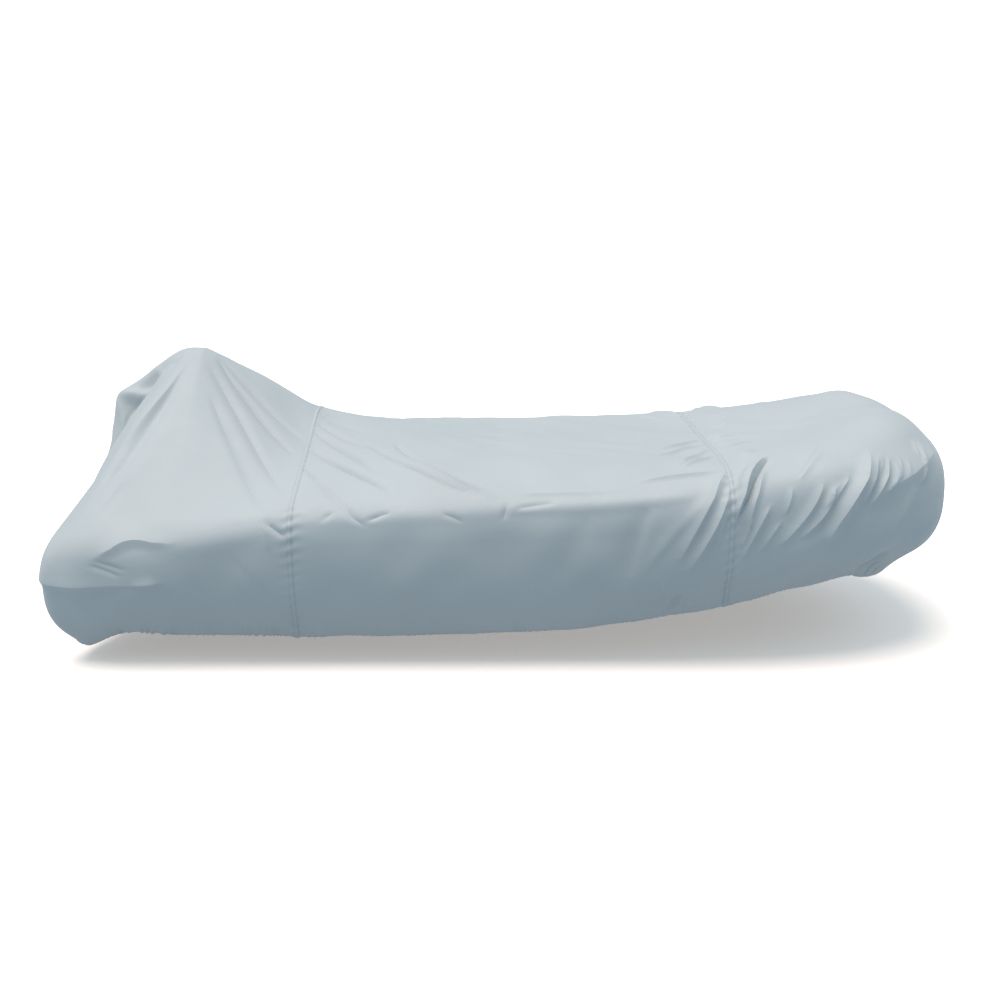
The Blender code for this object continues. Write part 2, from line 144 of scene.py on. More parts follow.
# The creased folds have a crisp crest, and a steep flank where it is narrow.
CREASES = (
    # down the hood, on its near face and to the seam
    (1.14, 0.12, 0.93, 0.34, 0.80, 0.66, 0.022, 0.030, 0.006),
    (1.39, 0.12, 1.56, 0.38, 1.78, 0.85, 0.018, 0.022, -0.0075),
    (1.42, 0.28, 1.54, 0.54, 1.70, 0.95, 0.016, 0.018, -0.0065),
    (1.42, 0.05, 1.56, 0.23, 1.77, 0.50, 0.014, 0.018, -0.0100),
    (1.44, 0.04, 1.59, 0.18, 1.79, 0.36, 0.014, 0.016, -0.0085),
    # the stern corner: the edge over it, its two creases, and the line that it ends at
    (1.05, 1.06, 1.18, 0.98, 1.36, 1.04, 0.050, 0.026, 0.010),
    (1.04, 1.09, 1.10, 1.15, 1.17, 1.22, 0.011, 0.012, -0.004),
    (1.02, 1.13, 1.08, 1.19, 1.15, 1.28, 0.011, 0.012, -0.004),
    (0.63, 1.20, 0.91, 1.30, 1.19, 1.38, 0.060, 0.026, 0.010),
    (1.20, 1.38, 1.26, 1.38, 1.31, 1.38, 0.026, 0.012, 0.006),
    (1.71, 0.97, 1.75, 1.04, 1.79, 1.11, 0.012, 0.012, -0.006),
    (1.71, 0.99, 1.72, 1.10, 1.73, 1.22, 0.012, 0.012, 0.004),
    # across the deck, from the stern seam
    (1.82, 0.18, 1.93, 0.29, 2.08, 0.43, 0.013, 0.011, -0.0080),
    (1.82, 0.27, 1.97, 0.47, 2.11, 0.69, 0.013, 0.011, -0.0085),
    (1.83, 0.44, 2.00, 0.66, 2.19, 0.87, 0.013, 0.011, -0.0100),
    (1.82, 0.60, 1.95, 0.84, 2.09, 1.06, 0.015, 0.012, -0.0090),
    (1.88, 0.71, 1.97, 0.86, 2.04, 0.98, 0.011, 0.011, 0.0060),
    (2.02, 0.32, 2.27, 0.70, 2.54, 0.93, 0.012, 0.012, -0.0085),
    (2.26, 0.63, 2.42, 0.80, 2.58, 0.93, 0.011, 0.011, 0.0080),
    (2.17, 0.38, 2.21, 0.47, 2.26, 0.57, 0.011, 0.011, -0.0070),
    (1.84, 0.12, 1.92, 0.16, 2.04, 0.22, 0.012, 0.012, -0.0050),
    # nicks in the gunwale
    (2.66, 0.99, 2.73, 0.975, 2.81, 0.97, 0.012, 0.012, -0.0050),
    (2.63, 0.96, 2.62, 1.00, 2.61, 1.06, 0.011, 0.011, -0.0040),
    (2.19, 0.985, 2.14, 1.00, 2.10, 1.03, 0.011, 0.011, -0.0050),
    (1.98, 0.97, 1.95, 0.99, 1.93, 1.02, 0.010, 0.010, -0.0040),
    (2.38, 0.99, 2.42, 1.02, 2.46, 1.06, 0.010, 0.010, -0.0035),
    (2.66, 0.91, 2.83, 0.92, 3.07, 0.92, 0.018, 0.014, 0.0035),
    # tension across the bow seam
    (3.45, 0.16, 3.35, 0.30, 3.24, 0.42, 0.012, 0.010, 0.0090),
    (3.45, 0.28, 3.32, 0.47, 3.21, 0.60, 0.012, 0.010, 0.0085),
    (3.45, 0.45, 3.35, 0.66, 3.28, 0.75, 0.014, 0.010, 0.0090),
    (3.45, 0.60, 3.38, 0.70, 3.30, 0.78, 0.010, 0.010, 0.0075),
    (3.46, 0.86, 3.30, 0.85, 3.12, 0.87, 0.014, 0.018, 0.0080),
    (3.49, 0.12, 3.55, 0.11, 3.64, 0.09, 0.010, 0.010, 0.0060),
    (3.49, 0.22, 3.56, 0.20, 3.66, 0.16, 0.010, 0.010, 0.0075),
    (3.49, 0.36, 3.55, 0.33, 3.62, 0.28, 0.010, 0.010, 0.0055),
    (3.49, 0.50, 3.56, 0.45, 3.68, 0.37, 0.010, 0.010, 0.0075),
    (3.53, 0.68, 3.58, 0.68, 3.63, 0.67, 0.010, 0.013, 0.0080),
    # the bundle behind the bow seam, below the gunwale
    (3.46, 0.87, 3.38, 1.06, 3.28, 1.43, 0.024, 0.042, 0.015),
    (3.46, 0.96, 3.41, 1.19, 3.31, 1.54, 0.022, 0.028, 0.016),
    (3.45, 1.10, 3.43, 1.24, 3.41, 1.42, 0.012, 0.013, 0.005),
    (3.22, 1.62, 3.22, 1.74, 3.20, 1.90, 0.012, 0.012, 0.005),
    (3.36, 1.68, 3.31, 1.81, 3.25, 1.94, 0.014, 0.014, 0.005),
    (3.29, 1.76, 3.27, 1.84, 3.24, 1.95, 0.012, 0.012, -0.005),
    # ahead of the bow seam: the slots and the long lips below them
    (3.64, 0.76, 3.53, 0.96, 3.48, 1.18, 0.013, 0.032, 0.018),
    (3.65, 0.77, 3.55, 0.96, 3.49, 1.17, 0.012, 0.008, -0.010),
    (3.62, 0.87, 3.56, 1.03, 3.53, 1.28, 0.011, 0.020, 0.007),
    (3.56, 0.83, 3.52, 0.91, 3.49, 0.98, 0.011, 0.018, 0.009),
    (3.61, 1.11, 3.56, 1.29, 3.51, 1.52, 0.018, 0.018, 0.009),
    (3.65, 1.25, 3.61, 1.36, 3.57, 1.49, 0.013, 0.015, 0.005),
    (3.54, 1.18, 3.53, 1.28, 3.50, 1.42, 0.010, 0.011, 0.004),
    # along the bow's side
    (3.69, 1.00, 3.68, 1.10, 3.66, 1.20, 0.011, 0.015, 0.0050),
    (3.81, 1.00, 3.75, 1.21, 3.65, 1.44, 0.019, 0.024, 0.0090),
    (3.85, 1.02, 3.81, 1.23, 3.72, 1.41, 0.016, 0.024, 0.0100),
    (3.88, 1.00, 3.84, 1.09, 3.81, 1.19, 0.010, 0.011, 0.0045),
    (3.92, 0.97, 3.87, 1.07, 3.83, 1.18, 0.011, 0.012, 0.0060),
    (4.06, 0.87, 3.91, 1.15, 3.82, 1.48, 0.044, 0.038, 0.025),
    (4.10, 0.88, 4.01, 1.02, 3.96, 1.20, 0.015, 0.018, 0.0085),
    (4.11, 0.88, 4.08, 0.94, 4.04, 1.00, 0.010, 0.010, 0.0040),
    (4.13, 0.91, 4.06, 1.04, 3.99, 1.21, 0.015, 0.016, 0.0090),
    (4.15, 0.93, 4.13, 1.01, 4.07, 1.11, 0.012, 0.016, 0.0060),
    (4.18, 0.91, 4.16, 0.97, 4.13, 1.03, 0.010, 0.010, 0.0040),
    (4.21, 0.93, 4.20, 0.97, 4.18, 1.01, 0.010, 0.010, 0.0030),
    (4.46, 0.92, 4.20, 1.01, 4.02, 1.16, 0.055, 0.055, 0.011),
    (4.36, 0.84, 4.31, 0.94, 4.26, 1.07, 0.012, 0.010, 0.0080),
    (4.34, 0.83, 4.31, 0.88, 4.29, 0.93, 0.010, 0.010, 0.0045),
    (4.39, 0.84, 4.36, 0.89, 4.33, 0.95, 0.010, 0.010, 0.0045),
    (4.15, 1.98, 4.14, 1.86, 4.16, 1.74, 0.012, 0.012, -0.0070),
    (4.20, 1.98, 4.20, 1.88, 4.23, 1.78, 0.012, 0.012, -0.0060),
    (3.90, 0.70, 3.79, 0.85, 3.72, 0.93, 0.014, 0.014, 0.0035),
    (3.89, 0.77, 3.79, 0.89, 3.72, 0.97, 0.014, 0.014, 0.0035),
)
CREST = 0.0025  # how far the crest of a creased fold is rounded to each side
CREASE_SHARE = 1.5  # the creases stand this much higher than their rows say
FAR_SHIFT = 0.05  # the far side's folds lie this much further forward
FAR_SHARE = 0.85  # and are this share of the near side's height
FOLD_STEPS = 16

# The broad unevenness of slack cloth: the height of each wave, and its lengths along X
# and round the section
WAVES = (
    (0.0030, 0.61, 0.47),
    (0.0022, 0.37, 0.29),
    (0.0014, 0.23, 0.41),
)

# How finely the cloth is cut into faces: steps from one place to the next along the
# gunwale, and round the section
STERN_AT = ((0, 0.5, AT_STERN_SEAM - SEAM_STRIP), (48, 104))
MIDDLE_AT = ((AT_STERN_SEAM + SEAM_STRIP, 3.05, AT_BOW_SEAM - SEAM_STRIP), (96, 52))
BOW_AT = ((AT_BOW_SEAM + SEAM_STRIP, 4.40, AT_BOW), (100, 52))
ROUND = ((0, 0.60, 1.45, 1.78), (40, 76, 20))
HEM_ROUND = ((1.78, 2, 3), (9, 3))

# The stitching's pucker beside a seam, and the gathers that the elastic draws in the hem
PUCKER_HEIGHT = 0.0030
PUCKER_LENGTH = 0.040
PUCKER_REACH = 0.035
GATHER_HEIGHT = 0.0045
GATHER_LENGTH = 0.026
GATHER_V = 1.80  # the gathers fade out above this place round the section

# The felled seam's lap and its two rows of stitches
# Its profile, from its middle to one side: how far off, and how high its face stands there
LAP_PROFILE = (
    (0.0000, 0.0019),
    (0.0040, 0.0019),
    (0.0053, 0.0014),
    (0.0065, 0.0008),
    (0.0078, 0.0012),
    (0.0090, 0.0015),
    (0.0102, 0.0003),
)
LAP_UNDERSIDE = 0.0002  # the lap's underside, over the cloth
STITCH_OFF = 0.0065
STITCH_PITCH = 0.0050
STITCH_LENGTH = 0.0038
STITCH_WIDTH = 0.0013
# A stitch's outline across, in shares of its width: sideways, and up from the lap
STITCH_OUTLINE = ((0.5, 0.0), (0.30, 0.42), (-0.30, 0.42), (-0.5, 0.0))
# Along a stitch, in shares of its length: where it is cut across, and its thickness there
STITCH_CUTS = (-0.5, -0.30, 0.30, 0.5)
STITCH_TAPER = (0.45, 1.0, 1.0, 0.45)

# The camera of the photo: its height over the crest's plane, its distance from the centre
# plane, how many pixels up from the middle the horizon lies, and its focal length in pixels
PHOTO_SIZE = 1000
FOCAL_PIXELS = 1300
HORIZON_PIXELS = 280
CAMERA_HEIGHT = 0.94
CAMERA_BACK = 5.63
SENSOR = 36
FLOOR_Z = -0.765

# The cloth's finish. Each pair is the range over which a value drifts from place to place.
CLOTH_COLOUR = (0.405, 0.445, 0.462)
CLOTH_SHEEN = 0.20
CLOTH_SHEEN_ROUGHNESS = 0.45
CLOTH_SPECULAR = 0.35
CLOTH_ROUGHNESS = (0.52, 0.64)
BROAD_MOTTLE = (0.97, 1.03)
FINE_MOTTLE = (0.985, 1.015)
WEAVE_PITCH = 0.0012
WEAVE_HEIGHT = 0.00004
CRINKLE_HEIGHT = 0.0007

# The sewing thread's finish
THREAD_COLOUR = (0.37, 0.41, 0.43, 1)
THREAD_SHADE = (0.30, 0.335, 0.355, 1)
THREAD_TWIST = 900
THREAD_SHEEN = 0.2
THREAD_ROUGHNESS = 0.6

# The light: a large soft one overhead, a little from the stern and from the near side,
# and a cool fill all round. Floor and backdrop look white to the camera, but the light that
# they send to the cloth is dimmer and cooler than that of a white floor.
SUN_STRENGTH = 3.30
SUN_ANGLE = 44
SUN_TO_STERN = 13
SUN_TO_NEAR = 5
SUN_COLOUR = (1.0, 0.89, 0.81)
FILL_COLOUR = (0.43, 0.55, 0.635, 1)
FLOOR_COLOUR = (0.94, 0.87, 0.83, 1)
FLOOR_RETURN = (0.18, 0.25, 0.31, 1)
FLOOR_GLOW = 0.30
GLOW_COLOUR = (1, 0.955, 0.91, 1)
FLOOR_ROUGHNESS = 0.9
FLOOR_SPECULAR = 0.1
FLOOR_REACH = 60
BACKDROP_COLOUR = (1, 1, 1, 1)
BACKDROP_STRENGTH = 1.05


# ------------------------------------------------------------------ the smooth cloth

def smooth_rows(table, at, odd=()):
    """Each column of a table, read at the given places along its first column."""
    rows = np.array(table, float)
    flip = np.ones(rows.shape[1])
    flip[list(odd)] = -1
    before = rows[1] * flip
    after = rows[-2] * flip
    before[0] = 2 * rows[0, 0] - rows[1, 0]
    after[0] = 2 * rows[-1, 0] - rows[-2, 0]
    knots = np.vstack([before, rows, after])
    places = knots[:, 0]
    slopes = np.zeros_like(knots)
    slopes[1:-1] = (knots[2:] - knots[:-2]) / (places[2:] - places[:-2])[:, None]
    at = np.clip(at, rows[0, 0], rows[-1, 0])
    i = np.clip(np.searchsorted(places, at, side="right") - 1, 1, len(knots) - 3)
    span = (places[i + 1] - places[i])[:, None]
    t = (at[:, None] - places[i][:, None]) / span
    return (
        knots[i] * (2 * t**3 - 3 * t**2 + 1)
        + slopes[i] * span * (t**3 - 2 * t**2 + t)
        + knots[i + 1] * (3 * t**2 - 2 * t**3)
        + slopes[i + 1] * span * (t**3 - t**2)
    )


def rounded(before, corner, after, cut_before, cut_after, steps=24):
    """Points of a curve that rounds a corner, cut_before and cut_after from it."""
    start = before - corner
    end = after - corner
    start_length = np.linalg.norm(start, axis=-1, keepdims=True)
    end_length = np.linalg.norm(end, axis=-1, keepdims=True)
    start = corner + start / start_length * np.minimum(cut_before, 0.48 * start_length)
    end = corner + end / end_length * np.minimum(cut_after, 0.48 * end_length)
    t = np.linspace(0, 1, steps + 1)[:, None, None]
    curve = (1 - t) ** 2 * start + 2 * t * (1 - t) * corner + t**2 * end
    return list(curve)


def section_lines(at):
    """Each section at full length: its points in 3-D on the +Y side, and their v.

    v is 0 at the spine, 1 at the gunwale, 2 at the hem's fold and 3 at its raw edge.
    """
    row = dict(zip(SECTION_COLUMNS, smooth_rows(SECTIONS, at, odd=(7,)).T))
    for number, name in enumerate(SECTION_COLUMNS[1:3], start=1):
        ends = [section[number] for section in SECTIONS]
        row[name] = np.clip(row[name], min(ends), max(ends))
    reach = np.hypot(row["edge_x"] - row["spine_x"], row["edge_out"])

    def corner(distance, height):
        return np.stack([distance, height], -1)

    spine = corner(0 * reach, row["spine_z"])
    crown = corner(0 * reach + CROWN, row["spine_z"])
    crest = corner(reach - row["crest_in"], row["crest_z"])
    edge = corner(reach, row["edge_z"])
    side = corner(reach, row["side_z"])
    hem = corner(reach - row["hem_in"], row["hem_z"])
    raw = corner(reach - row["hem_in"] - TURN_IN, row["hem_z"] + TURN_UP)

    top = [spine] + rounded(spine, crown, crest, CROWN, CROWN)
    crest_cut = row["crest_cut"][:, None]
    top += rounded(crown, crest, edge, crest_cut, crest_cut)
    gunwale = rounded(crest, edge, side, *GUNWALE_CUTS)
    half = len(gunwale) // 2
    top += gunwale[: half + 1]
    down = gunwale[half:] + rounded(edge, side, hem, SIDE_CUT, SIDE_CUT)
    turn = rounded(side, hem, raw, HEM_CUT, HEM_CUT)
    half = len(turn) // 2
    down += turn[: half + 1]
    back = turn[half:] + [raw]

    line = []
    v = []
    for number, part in enumerate((top, down, back)):
        part = np.array(part)
        steps = np.linalg.norm(np.diff(part, axis=0), axis=-1)
        along = np.vstack([0 * steps[:1], np.cumsum(steps, axis=0)])
        line.append(part)
        v.append(number + along / along[-1])
    line = np.vstack(line)
    v = np.vstack(v)
    ahead = ((row["edge_x"] - row["spine_x"]) / reach)[None]
    out = (row["edge_out"] / reach)[None]
    x = row["spine_x"][None] + line[..., 0] * ahead
    y = line[..., 0] * out
    return np.stack([x, y, line[..., 1]], -1), v


def points_on_cloth(at, v, side):
    """Points of the smooth cloth on side -1 or +1: a row of them for each section.

    v is the same for every section, or has a row for each.
    """
    lines, places = section_lines(at)
    v = np.broadcast_to(v, (len(at), np.shape(v)[-1]))
    points = np.empty((*v.shape, 3))
    for i in range(len(at)):
        for axis in range(3):
            points[i, :, axis] = np.interp(v[i], places[:, i], lines[:, i, axis])
    points[..., 1] *= side
    return points


def spaced(marks, steps):
    """Numbers from each mark to the next, with the given count of steps between."""
    parts = [
        np.linspace(a, b, n, endpoint=False)
        for a, b, n in zip(marks[:-1], marks[1:], steps)
    ]
    return np.append(np.concatenate(parts), marks[-1])


# ------------------------------------------------------------------ folds and creases

def welded(points):
    """The points that differ, and each old point's new number."""
    _, first, same = np.unique(
        np.round(points, 6) + 0.0, axis=0, return_index=True, return_inverse=True
    )
    return points[first], same.reshape(-1)


def quads_of(number):
    """The quads of a grid of point numbers, in columns of four."""
    corners = (number[:-1, :-1], number[1:, :-1], number[1:, 1:], number[:-1, 1:])
    return np.stack(corners, -1).reshape(-1, 4)


def point_normals(points, quads):
    """The outward normal at each point of a surface of quads."""
    corners = points[quads]
    face = np.cross(corners[:, 2] - corners[:, 0], corners[:, 3] - corners[:, 1])
    normals = np.zeros_like(points)
    for corner in range(4):
        np.add.at(normals, quads[:, corner], face)
    return normals / np.linalg.norm(normals, axis=1, keepdims=True)


def fold_places(fold, side):
    """The places along a fold's line, as at and v."""
    t = np.linspace(0, 1, FOLD_STEPS + 1)
    share = ((1 - t) * (1 - 2 * t), 4 * t * (1 - t), t * (2 * t - 1))
    ends = ("start", "middle", "end")
    at = sum(s * fold["at_" + end] for s, end in zip(share, ends))
    v = sum(s * fold["v_" + end] for s, end in zip(share, ends))
    if side > 0:
        at = at + FAR_SHIFT
    return np.clip(at, 0, AT_BOW), v


def fold_line(fold, side):
    """Points along a fold's line on the smooth cloth."""
    at, v = fold_places(fold, side)
    return points_on_cloth(at, v[:, None], side)[:, 0]


def beside_fold(points, normals, fold, side):
    """The points near one fold's line: which they are, their offset from the line, how far
    along it they lie, and whether they are on its left."""
    line = fold_line(fold, side)
    reach = 2.2 * max(fold["left"], fold["right"])
    low = line.min(axis=0) - reach
    high = line.max(axis=0) + reach
    near = np.nonzero(np.all((points > low) & (points < high), axis=1))[0]
    p = points[near]
    offset = np.full((len(near), 3), np.inf)
    best = np.full(len(near), np.inf)
    place = np.zeros(len(near))
    across = np.zeros(len(near))
    for step in range(FOLD_STEPS):
        start = line[step]
        run = line[step + 1] - start
        t = np.clip((p - start) @ run / (run @ run), 0, 1)
        off = p - start - t[:, None] * run
        distance = np.linalg.norm(off, axis=1)
        closer = distance < best
        best[closer] = distance[closer]
        offset[closer] = off[closer]
        place[closer] = (step + t[closer]) / FOLD_STEPS
        left = np.cross(normals[near], run / np.linalg.norm(run))
        across[closer] = np.einsum("ij,ij->i", off, left)[closer]
    return near, offset, place, across > 0 if side < 0 else across < 0


def crest_points(fold, side, at, v):
    """The points of a grid that lie nearest to a creased fold's crest, one in each row or
    column that it crosses: their rows and columns, and the places of the crest there."""
    crest_at, crest_v = fold_places(fold, side)
    rows = np.nonzero((at > crest_at.min()) & (at < crest_at.max()))[0]
    columns = np.nonzero((v > crest_v.min()) & (v < crest_v.max()))[0]
    if len(rows) >= len(columns):
        order = np.argsort(crest_at)
        place_at = at[rows]
        place_v = np.interp(place_at, crest_at[order], crest_v[order])
        columns = np.abs(v[:, None] - place_v).argmin(axis=0)
    else:
        order = np.argsort(crest_v)
        place_v = v[columns]
        place_at = np.interp(place_v, crest_v[order], crest_at[order])
        rows = np.abs(at[:, None] - place_at).argmin(axis=0)
    return rows, columns, place_at, place_v


def slide_to_crests(at, v, points, side):
    """Slides the points of a grid that lie beside a creased fold's crest onto it, along the
    cloth, so that the crest is crisp. Gives the number of each point's crest, or -1."""
    crest = np.full(points.shape[:2], -1)
    seams = np.array([AT_STERN_SEAM, AT_BOW_SEAM])
    by_seam = np.abs(at[:, None] - seams).min(axis=1) < SEAM_STRIP * 1.01
    for number, row in enumerate(CREASES):
        fold = dict(zip(FOLD_COLUMNS, row))
        for i, j, new_at, new_v in zip(*crest_points(fold, side, at, v)):
            if by_seam[i] or crest[i, j] >= 0 or j in (0, len(v) - 1):
                continue
            crest[i, j] = number
            points[i, j] = points_on_cloth(np.array([new_at]), np.array([new_v]), side)[0, 0]
    return crest


def fold_rise(points, normals, fold, side, creased):
    """How far one fold lifts each point of the cloth."""
    near, offset, place, left = beside_fold(points, normals, fold, side)
    rise = np.zeros(len(points))
    if len(near) == 0:
        return rise
    away = np.linalg.norm(offset, axis=1)
    fade = np.sin(np.pi * np.clip(place, 0.02, 0.98)) ** 0.6
    width = np.where(left, fold["left"], fold["right"]) * (0.5 + 0.5 * fade)
    if creased:
        flank = (np.sqrt(away**2 + CREST**2) - CREST) / (1.6 * width)
        shape = np.clip(1 - flank, 0, 1) ** 2
    else:
        shape = np.exp(-((away / width) ** 2))
    rise[near] = fold["height"] * shape * fade
    return rise


def slack_rise(points):
    """The broad unevenness of the slack cloth."""
    rise = np.zeros(len(points))
    for height, along, round_it in WAVES:
        wave = np.sin(2 * np.pi * points[:, 0] / along + 5 * points[:, 1])
        rise += height * wave * np.sin(
            2 * np.pi * (points[:, 1] - points[:, 2]) / round_it + 3 * points[:, 0]
        )
    return rise


def pucker_rise(at, arc):
    """The small ripples that the stitches draw on both sides of each seam."""
    rise = np.zeros(len(at))
    for seam in (AT_STERN_SEAM, AT_BOW_SEAM):
        off = at - seam
        turn = arc / PUCKER_LENGTH + 0.35 * np.sin(9 * arc) + 0.25 * np.sign(off)
        swing = 0.65 + 0.35 * np.sin(13 * arc + seam)
        rise += PUCKER_HEIGHT * swing * np.sin(2 * np.pi * turn) * np.exp(
            -((off / PUCKER_REACH) ** 2)
        )
    return rise


def gather_rise(at, v, side):
    """The gathers of the elastic hem: strongest at the stern, and uneven all along."""
    share = np.clip((v - GATHER_V) / (2 - GATHER_V), 0, 1)
    share = share**2 * (3 - 2 * share)
    shift = side * np.sin(np.pi * at / AT_BOW)  # none on the centre plane, where sides meet
    turn = at / GATHER_LENGTH + 0.9 * np.sin(19 * at + shift) + 0.5 * np.sin(47 * at)
    swing = 0.55 + 0.25 * np.sin(13 * at + 2 * shift) + 0.20 * np.sin(31 * at)
    stern = 0.35 + 0.65 * np.exp(-(((at - 1.35) / 0.45) ** 2))
    return GATHER_HEIGHT * share * swing * stern * np.sin(2 * np.pi * turn)


def folded(patches):
    """The outer face of the cloth on two grids of at and v: the cloth's and the hem's.

    Gives for each its points, normals, arc lengths and crest numbers, each with the -Y
    side first.
    """
    shapes = [(2, len(at), len(v)) for at, v in patches]
    at_all = []
    v_all = []
    side_all = []
    crests = []
    smooth = []
    quads = []
    count = 0
    for at, v in patches:
        for side in (-1, 1):
            points = points_on_cloth(at, v, side)
            crest = np.full(points.shape[:2], -1)
            if v[0] == 0:
                crest = slide_to_crests(at, v, points, side)
            crests.append(crest.reshape(-1))
            smooth.append(points.reshape(-1, 3))
            at_all.append(np.repeat(at, len(v)))
            v_all.append(np.tile(v, len(at)))
            side_all.append(np.full(len(at) * len(v), side))
            number = count + np.arange(len(at) * len(v)).reshape(len(at), len(v))
            quads.append(quads_of(number)[:, ::side])
            count += number.size
    at_all = np.concatenate(at_all)
    v_all = np.concatenate(v_all)
    side_all = np.concatenate(side_all)
    crests = np.concatenate(crests)
    points, same = welded(np.vstack(smooth))
    normals = point_normals(points, same[np.vstack(quads)])

    rise = slack_rise(points)
    for table, creased, share in ((SOFT_FOLDS, False, 1), (CREASES, True, CREASE_SHARE)):
        for row in table:
            fold = dict(zip(FOLD_COLUMNS, row))
            fold["height"] *= share
            rise += fold_rise(points, normals, fold, -1, creased)
            fold["height"] *= FAR_SHARE
            rise += fold_rise(points, normals, fold, 1, creased)
    arc = arc_lengths(at_all, v_all)
    fine = pucker_rise(at_all, arc) + gather_rise(at_all, v_all, side_all)
    lift = rise[same] + fine
    moved = points[same] + normals[same] * lift[:, None]

    results = []
    start = 0
    for shape, (at, v) in zip(shapes, patches):
        end = start + int(np.prod(shape))
        grid = moved[start:end].reshape(*shape, 3)
        level_strips(at, grid)
        results.append((
            grid,
            normals[same][start:end].reshape(*shape, 3),
            arc[start:end].reshape(shape),
            crests[start:end].reshape(shape),
        ))
        start = end
    return results


def arc_lengths(at, v):
    """How far each place lies from the spine, along its section."""
    marks = np.linspace(0, AT_BOW, 126)
    lines, places = section_lines(marks)
    steps = np.linalg.norm(np.diff(lines, axis=0), axis=-1)
    along = np.vstack([0 * steps[:1], np.cumsum(steps, axis=0)])
    rounds = np.linspace(0, 3, 61)
    table = np.array([
        np.interp(rounds, places[:, i], along[:, i]) for i in range(len(marks))
    ])
    i = np.clip(np.searchsorted(marks, at) - 1, 0, len(marks) - 2)
    j = np.clip(np.searchsorted(rounds, v) - 1, 0, len(rounds) - 2)
    s = (at - marks[i]) / (marks[i + 1] - marks[i])
    t = (v - rounds[j]) / (rounds[j + 1] - rounds[j])
    low = table[i, j] * (1 - t) + table[i, j + 1] * t
    high = table[i + 1, j] * (1 - t) + table[i + 1, j + 1] * t
    return low * (1 - s) + high * s


def level_strips(at, grid):
    """Keeps the cloth level across each cut edge, so that two panels meet face to face."""
    for seam, x in ((AT_STERN_SEAM, STERN_SEAM_X), (AT_BOW_SEAM, BOW_SEAM_X)):
        row = int(np.argmin(np.abs(at - seam)))
        if abs(at[row] - seam) > SEAM_STRIP / 2:
            continue
        grid[:, row, :, 0] = x
        edge = grid[:, row, :, 1:].copy()
        for other in np.nonzero(np.abs(at - seam) < SEAM_STRIP * 1.01)[0]:
            grid[:, other, :, 0] = x + at[other] - seam
            grid[:, other, :, 1:] = edge


# ------------------------------------------------------------------------ the panels

def halved(places):
    """The places, with the middle of each step added."""
    return np.sort(np.append(places, (places[:-1] + places[1:]) / 2))


def cut_along_crests(quads, crest):
    """The quads, with each one that a crest crosses from corner to corner cut in two."""
    marks = crest[quads]
    on_crest = marks >= 0
    first = on_crest[:, 0] & (marks[:, 0] == marks[:, 2]) & ~on_crest[:, 1] & ~on_crest[:, 3]
    second = on_crest[:, 1] & (marks[:, 1] == marks[:, 3]) & ~on_crest[:, 0] & ~on_crest[:, 2]
    return [
        quads[~first & ~second],
        quads[first][:, (0, 1, 2)],
        quads[first][:, (0, 2, 3)],
        quads[second][:, (0, 1, 3)],
        quads[second][:, (1, 2, 3)],
    ]


def panel(name, node, cloth, hem, first, last):
    """One sewn panel, from the first to the last row of the cloth's grids.

    The hem's grid has twice as many rows as the cloth's, so the faces where they meet
    have five corners.
    """
    cut = [cloth[0][:, first : last + 1].copy(), hem[0][:, 2 * first : 2 * last + 1].copy()]
    arcs = [cloth[2][:, first : last + 1], hem[2][:, 2 * first : 2 * last + 1]]
    crests = [cloth[3][:, first : last + 1], hem[3][:, 2 * first : 2 * last + 1]]
    for grid in cut:
        if first > 0:
            grid[:, 0, :, 0] += SEAM_GAP / 2
        if last < cloth[0].shape[1] - 1:
            grid[:, -1, :, 0] -= SEAM_GAP / 2
    order = [(side, part) for side in (0, 1) for part in (0, 1)]
    points = np.vstack([cut[part][side].reshape(-1, 3) for side, part in order])
    crest = np.concatenate([crests[part][side].reshape(-1) for side, part in order])
    faces = []
    sizes = [grid[0].size // 3 for grid in cut]
    start = 0
    for side in (0, 1):
        tops = start + np.arange(sizes[0]).reshape(cut[0].shape[1:3])
        hems = start + sizes[0] + np.arange(sizes[1]).reshape(cut[1].shape[1:3])
        border = np.stack([
            tops[:-1, -2], tops[1:, -2], tops[1:, -1], hems[1::2, 0], tops[:-1, -1]
        ], -1)
        main = cut_along_crests(quads_of(tops[:, :-1]), crest)
        for group in (*main, border, quads_of(hems)):
            faces.append(group if side else group[:, ::-1])
        start += sum(sizes)
    rows = (AT_ROWS[first : last + 1], halved(AT_ROWS)[2 * first : 2 * last + 1])
    along = np.concatenate([
        np.repeat(rows[part], cut[part].shape[2]) for side, part in order
    ])
    across = np.concatenate([
        arcs[part][side].reshape(-1) * (1 if side else -1) for side, part in order
    ])
    merged, same = welded(points)
    keep = np.zeros(len(merged), int)
    keep[same] = np.arange(len(points))
    loops = []
    for group in faces:
        for face in same[group].tolist():
            loops.append([p for i, p in enumerate(face) if p != face[i - 1]])
    thing = new_mesh(name, merged, loops)
    sharpen_crests(thing, crest[keep])
    map_cloth(thing, np.stack([along[keep], across[keep]], -1))
    shell = thing.modifiers.new("cloth", "SOLIDIFY")
    shell.thickness = CLOTH
    shell.offset = -1
    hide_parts(node)
    finish_piece(thing)
    return thing


def sharpen_crests(thing, crest):
    """Marks the edges that run along a crest as sharp, so that its flanks meet crisply."""
    mesh = thing.data
    ends = np.empty(2 * len(mesh.edges), int)
    mesh.edges.foreach_get("vertices", ends)
    marks = crest[ends.reshape(-1, 2)]
    mesh.edges.foreach_set("use_edge_sharp", (marks[:, 0] >= 0) & (marks[:, 0] == marks[:, 1]))


